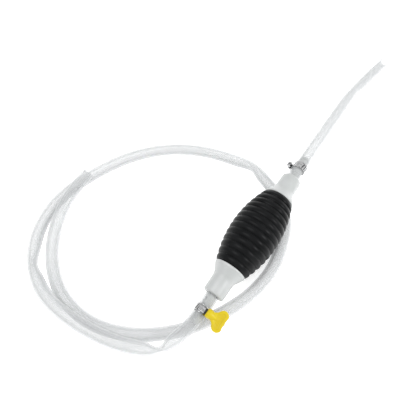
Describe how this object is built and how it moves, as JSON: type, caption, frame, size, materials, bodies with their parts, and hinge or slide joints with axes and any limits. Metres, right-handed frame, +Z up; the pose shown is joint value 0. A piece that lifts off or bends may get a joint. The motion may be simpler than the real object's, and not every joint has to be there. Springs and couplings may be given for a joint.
{
  "type": "gravel vacuum siphon",
  "caption": "Hand siphon pump for draining a tank: a ribbed squeeze bulb with check valves in its two end caps, and clear hoses held by screw clamps.",
  "frame": {"origin": "under the middle of the pump with its caps and clamps, on the surface it lies on", "axes": "+X along the pump towards its inlet and the short hose, +Z up, +Y towards the middle of the long hose's loop"},
  "size_m": [0.4663, 0.2288, 0.0476],
  "materials": {
    "bulb_rubber": "matte moulded black rubber with a soft sheen",
    "cap_plastic": "milky white polyethylene, slightly translucent",
    "hose_vinyl": "clear flexible vinyl, glossy",
    "clamp_steel": "zinc-plated steel strip and screw",
    "key_plastic": "moulded yellow plastic",
    "valve_plastic": "white moulded plastic",
    "ball_plastic": "smooth white ball",
    "seal_rubber": "black nitrile rubber"
  },
  "bodies": {
    "pump": {"bulb": "bulb_rubber", "inlet_cap": "cap_plastic", "outlet_cap": "cap_plastic", "inlet_hose": "hose_vinyl", "outlet_hose": "hose_vinyl", "inlet_clamp_band": "clamp_steel", "inlet_clamp_housing": "clamp_steel", "inlet_valve_body": "valve_plastic", "inlet_valve_retainer": "valve_plastic", "inlet_valve_seal": "seal_rubber", "outlet_clamp_band": "clamp_steel", "outlet_clamp_housing": "clamp_steel", "outlet_valve_body": "valve_plastic", "outlet_valve_retainer": "valve_plastic", "outlet_valve_seal": "seal_rubber"},
    "outlet_screw_and_key": {"outlet_clamp_screw": "clamp_steel", "outlet_clamp_key": "key_plastic"},
    "inlet_screw": {"inlet_clamp_screw": "clamp_steel"},
    "inlet_ball": {"inlet_valve_ball": "ball_plastic"},
    "outlet_ball": {"outlet_valve_ball": "ball_plastic"}
  },
  "joints": [
    {"name": "outlet_clamp_screw_turn", "type": "hinge", "parent": "pump", "child": "outlet_screw_and_key", "pos_m": [-0.08475, -0.00172, 0.02988], "axis": [0.0076, -0.9848, -0.1735], "continuous": true},
    {"name": "inlet_clamp_screw_turn", "type": "hinge", "parent": "pump", "child": "inlet_screw", "pos_m": [0.08467, 0.00811, 0.02183], "axis": [-0.0357, 0.5736, 0.8184], "continuous": true},
    {"name": "inlet_valve_lift", "type": "slide", "parent": "pump", "child": "inlet_ball", "axis": [-0.999, 0, -0.0436], "range_m": [0, 0.003]},
    {"name": "outlet_valve_lift", "type": "slide", "parent": "pump", "child": "outlet_ball", "axis": [-0.999, 0, -0.0436], "range_m": [0, 0.003]}
  ]
}
